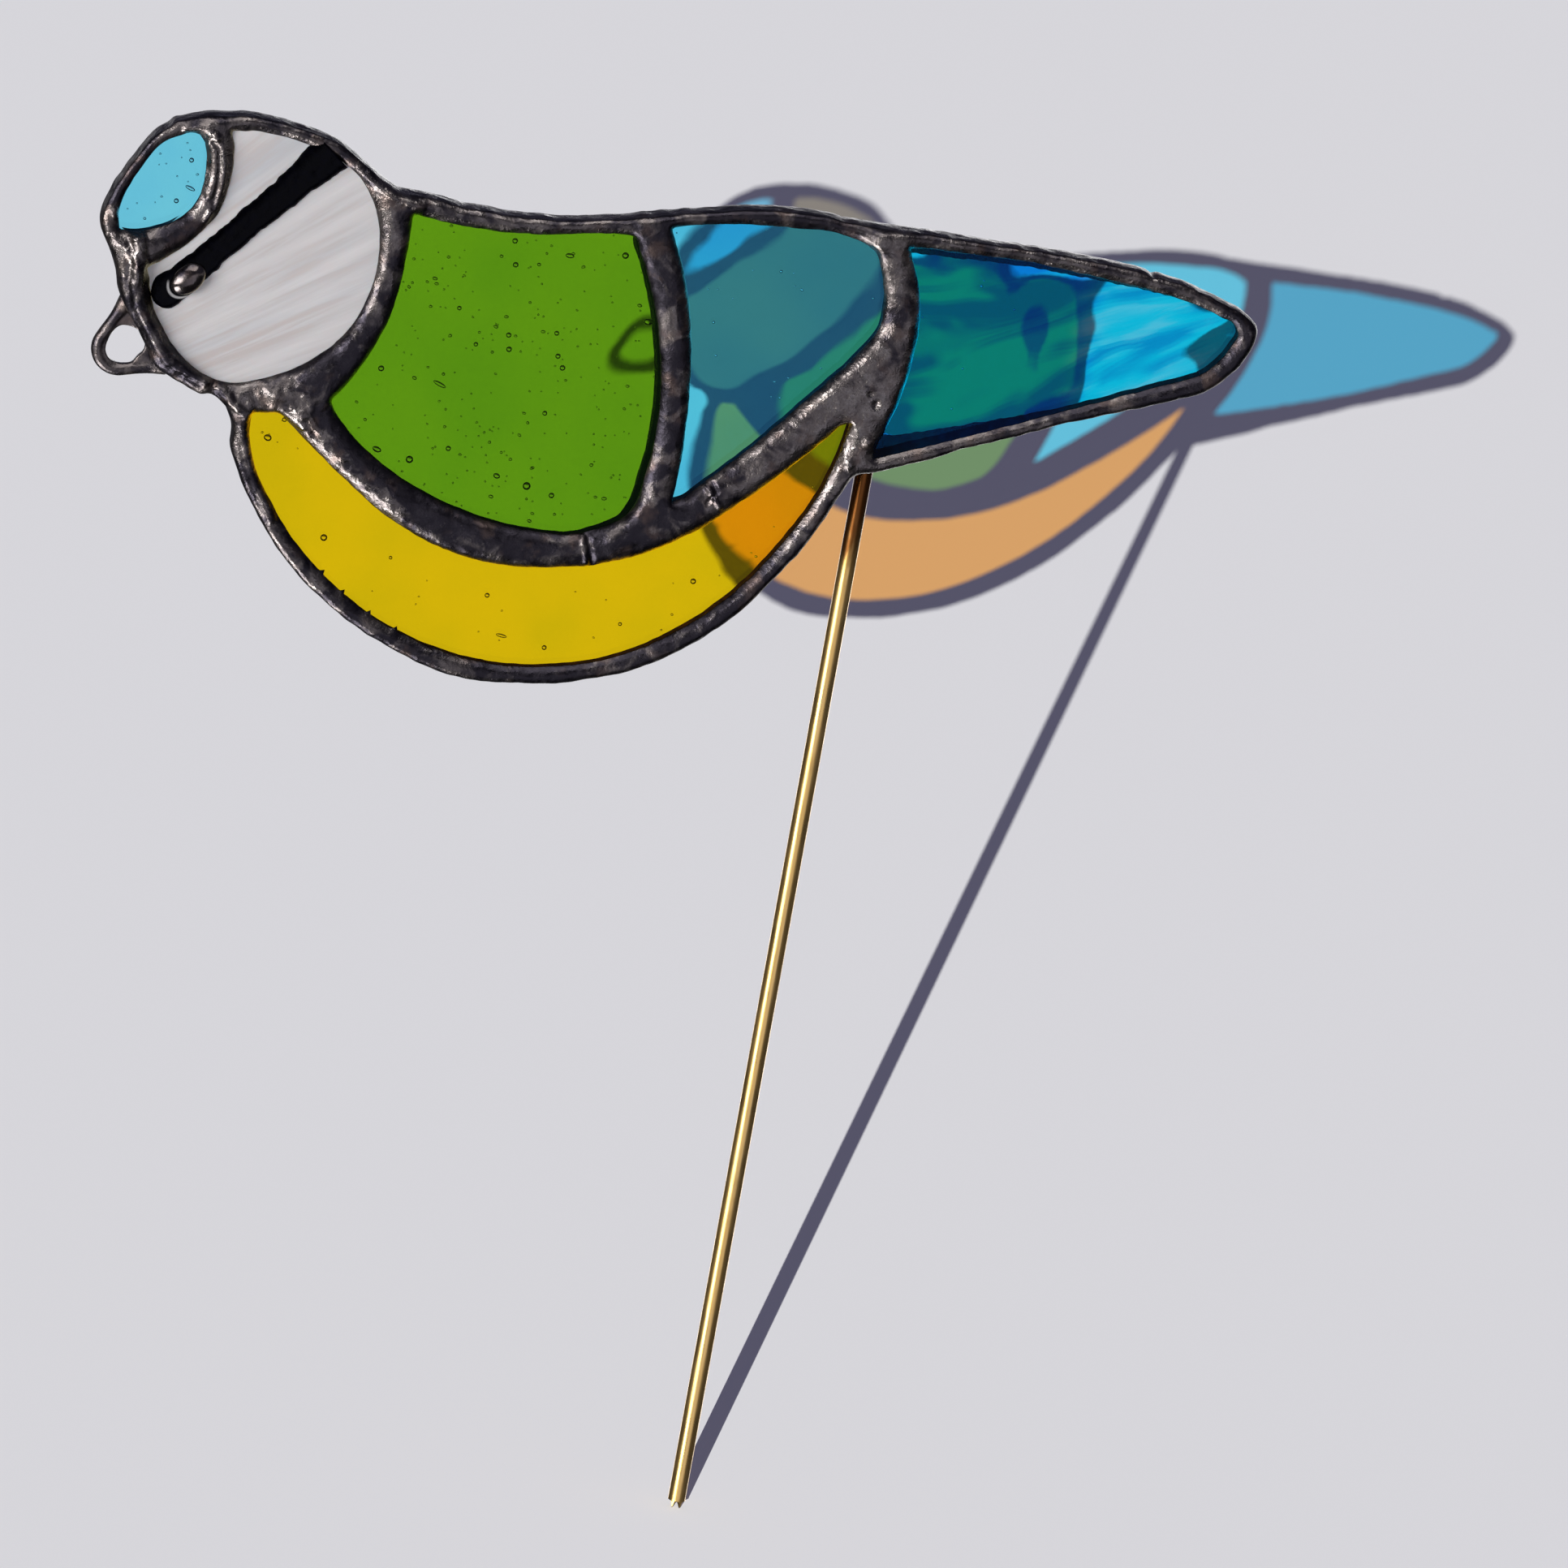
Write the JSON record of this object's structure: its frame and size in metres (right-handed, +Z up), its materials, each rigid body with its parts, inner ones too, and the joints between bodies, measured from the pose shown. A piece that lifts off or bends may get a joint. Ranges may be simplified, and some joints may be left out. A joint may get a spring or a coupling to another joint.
{
  "type": "stained glass plant stake",
  "caption": "Small garden bird in copper-foil stained glass, with a wire loop for its beak, soldered to an upright brass rod that is pushed into a plant pot.",
  "frame": {"origin": "centre of the rod's square-cut lower end, which goes into the soil", "axes": "+Z up along the rod, -Y towards the side that the picture shows, -X towards the bird's head, +X towards its tail"},
  "size_m": [0.1315, 0.0085, 0.1546],
  "materials": {
    "sky_glass": "clear light blue seeded glass, polished",
    "opal_glass": "streaky white opalescent glass, soft gloss",
    "green_glass": "clear green seeded glass, polished",
    "wing_glass": "clear light blue glass, polished",
    "amber_glass": "clear deep yellow seeded glass, polished",
    "tail_glass": "clear blue glass with a combed ripple",
    "dark_solder": "hand-run solder with a black patina, worn to pewter on its crests",
    "black_strip": "gloss black",
    "brass": "drawn bright brass, darkened by flux below the bird"
  },
  "bodies": {
    "root": {"cap_glass": "sky_glass", "face_glass": "opal_glass", "back_glass": "green_glass", "wing_glass": "wing_glass", "belly_glass": "amber_glass", "tail_glass": "tail_glass", "solder_lines": "dark_solder", "eye_bead": "dark_solder", "beak_loop": "dark_solder", "eye_stripe": "black_strip", "stake_rod": "brass"}
  },
  "joints": []
}
